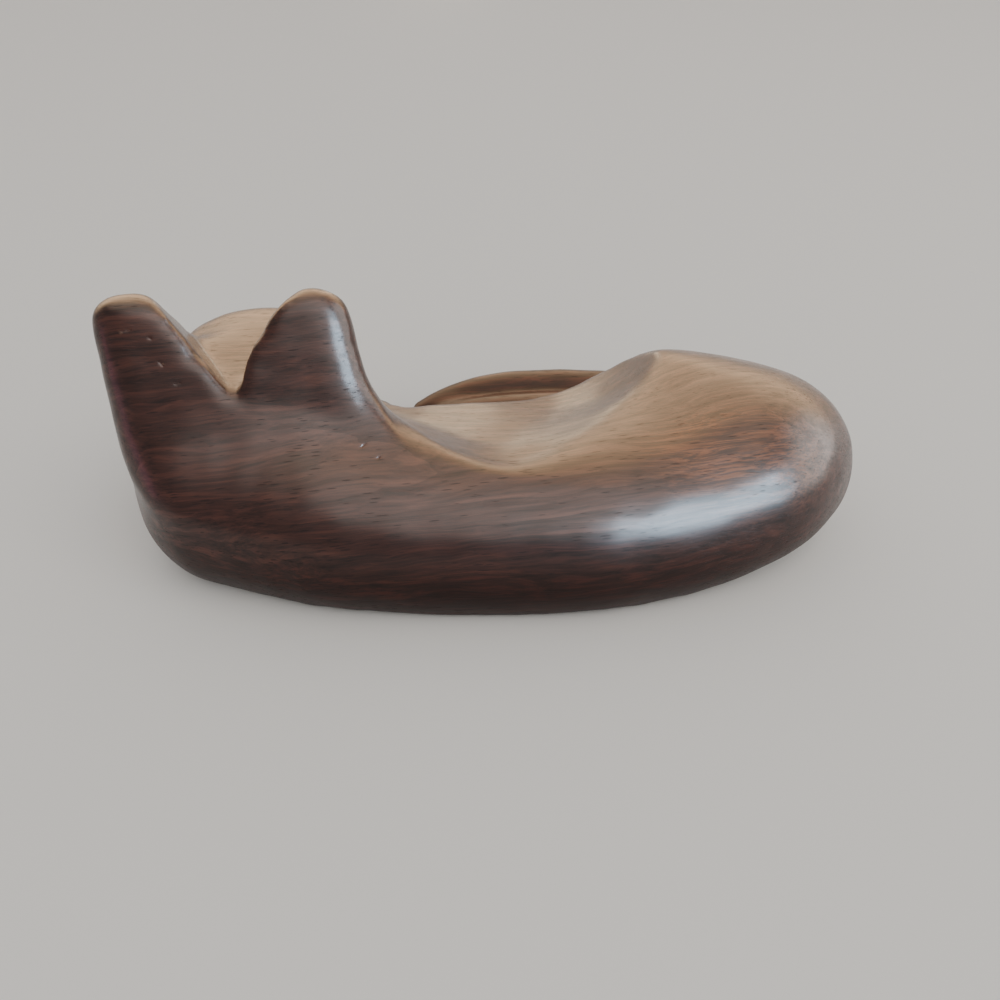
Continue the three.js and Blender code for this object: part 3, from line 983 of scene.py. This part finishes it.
def scratch_marks(tree, wood, amount):
    """Where hairline scratches show, by an amount."""
    rump = window(tree, wood["along"], *RUMP_ALONG)
    ears = window(tree, wood["up"], *EARS_UP)
    handled = math_node(tree, "MAXIMUM", rump, ears)
    handled = plus(tree, times(tree, handled, MARKS_HANDLED), MARKS_ELSEWHERE)
    return times(tree, times(tree, wood["hairlines"], handled), amount)


def wood_roughness(tree, wood, roughness, marks, edge_light_and_wear):
    """The roughness around a middle value."""
    rough = times(tree, wood["fibres"], FIBRE_ROUGHNESS)
    rough = plus(tree, rough, roughness - FIBRE_ROUGHNESS / 2)
    rough = plus(tree, rough, times(tree, marks, MARK_ROUGHNESS))
    rough = plus(tree, rough, times(tree, wood["pores"], PORE_ROUGHNESS))
    return minus(tree, rough, times(tree, edge_light_and_wear, WORN_SMOOTHNESS), clamp=True)


def wood_relief(tree, wood, marks):
    """The normal of the surface with fibres, pores and scratches."""
    height = times(tree, wood["fibres"], FIBRE_RELIEF)
    height = minus(tree, height, times(tree, wood["pores"], PORE_RELIEF))
    height = minus(tree, height, times(tree, marks, MARK_RELIEF))
    bump = {"Height": height, "Strength": RELIEF_STRENGTH, "Distance": RELIEF_HEIGHT}
    return node(tree, "ShaderNodeBump", bump).outputs["Normal"]


# %% [markdown]
# Wax gives a clear coat over the wood. It is thinner low down, where a hand seldom rubs,
# and thinner over pores and over the darkest streaks. The coat's own roughness is one
# number, set on the shader. The underside is the same wood with no polish.

# %% Wax the wood
RUBBED_UP = (10.0, 27.0)
COAT_LOW = 0.12
COAT_HIGH_GAIN = 0.88
COAT_BASE = 0.68
COAT_BY_TONE = 0.45
COAT_LOST_IN_PORES = 0.4
WOOD_SHINE = 0.1
WOOD_IOR = 1.5
WAX_ROUGHNESS = 0.25
WAX_IOR = 1.5


def wax_coat(tree, wood, tone, coat):
    """How much wax coat there is, up to a share."""
    rubbed = window(tree, wood["up"], *RUBBED_UP)
    polish = plus(tree, times(tree, rubbed, COAT_HIGH_GAIN), COAT_LOW)
    grained = plus(tree, times(tree, tone, COAT_BY_TONE), COAT_BASE)
    grained = minus(tree, grained, times(tree, wood["pores"], COAT_LOST_IN_PORES))
    return times(tree, times(tree, polish, grained), coat, clamp=True)


# %% Build the two timbers
def timber(name, roughness, coat, scratch_amount, edge_light_and_wear_share):
    """A material of the cat's wood, with its polish given by roughness and coat."""
    finish = bpy.data.materials.new(name)
    finish.use_nodes = True
    tree = finish.node_tree
    shader = tree.nodes["Principled BSDF"]
    wood = wood_patterns(tree)
    tone = wood_tone(tree, wood)
    edge_light_and_wear, hollow_mask = edges_and_hollows(tree, edge_light_and_wear_share)
    marks = scratch_marks(tree, wood, scratch_amount)
    # Painted shade low down and a painted highlight on sharp edges are laid on the colour here.
    colour = colour_with_painted_light_and_dirt(tree, wood, wood_colour(tree, wood, tone), edge_light_and_wear, hollow_mask)
    rough = wood_roughness(tree, wood, roughness, marks, edge_light_and_wear)
    feed(tree, shader.inputs["Base Color"], colour)
    feed(tree, shader.inputs["Roughness"], rough)
    feed(tree, shader.inputs["Normal"], wood_relief(tree, wood, marks))
    if coat > 0:
        feed(tree, shader.inputs["Coat Weight"], wax_coat(tree, wood, tone, coat))
    shader.inputs["IOR"].default_value = WOOD_IOR
    shader.inputs["Specular IOR Level"].default_value = WOOD_SHINE
    shader.inputs["Coat Roughness"].default_value = WAX_ROUGHNESS
    shader.inputs["Coat IOR"].default_value = WAX_IOR
    return finish


polished = timber("dark_wood", roughness=0.38, coat=0.85, scratch_amount=1.0, edge_light_and_wear_share=0.55)
bare = timber("dark_wood_bare", roughness=0.62, coat=0.0, scratch_amount=0.6, edge_light_and_wear_share=0.2)
print("polished timber has", len(polished.node_tree.nodes), "nodes")

# %% [markdown]
# ## Finish the surfaces
#
# The polished timber goes on everything that shows, and the bare one on the sawn
# underside. The faces are chosen by where they lie and which way they look.

# %% Give each face its finish
UNDERSIDE_HEIGHT = 0.1 * MM
LOOKS_DOWN = -0.9

carving.data.materials.append(polished)
carving.data.materials.append(bare)
below = 0
for face in carving.data.polygons:
    is_below = face.center.z < UNDERSIDE_HEIGHT and face.normal.z < LOOKS_DOWN
    face.material_index = 1 if is_below else 0
    below += is_below
print(below, "faces are the bare underside")

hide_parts("cat")
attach(carving, "root")
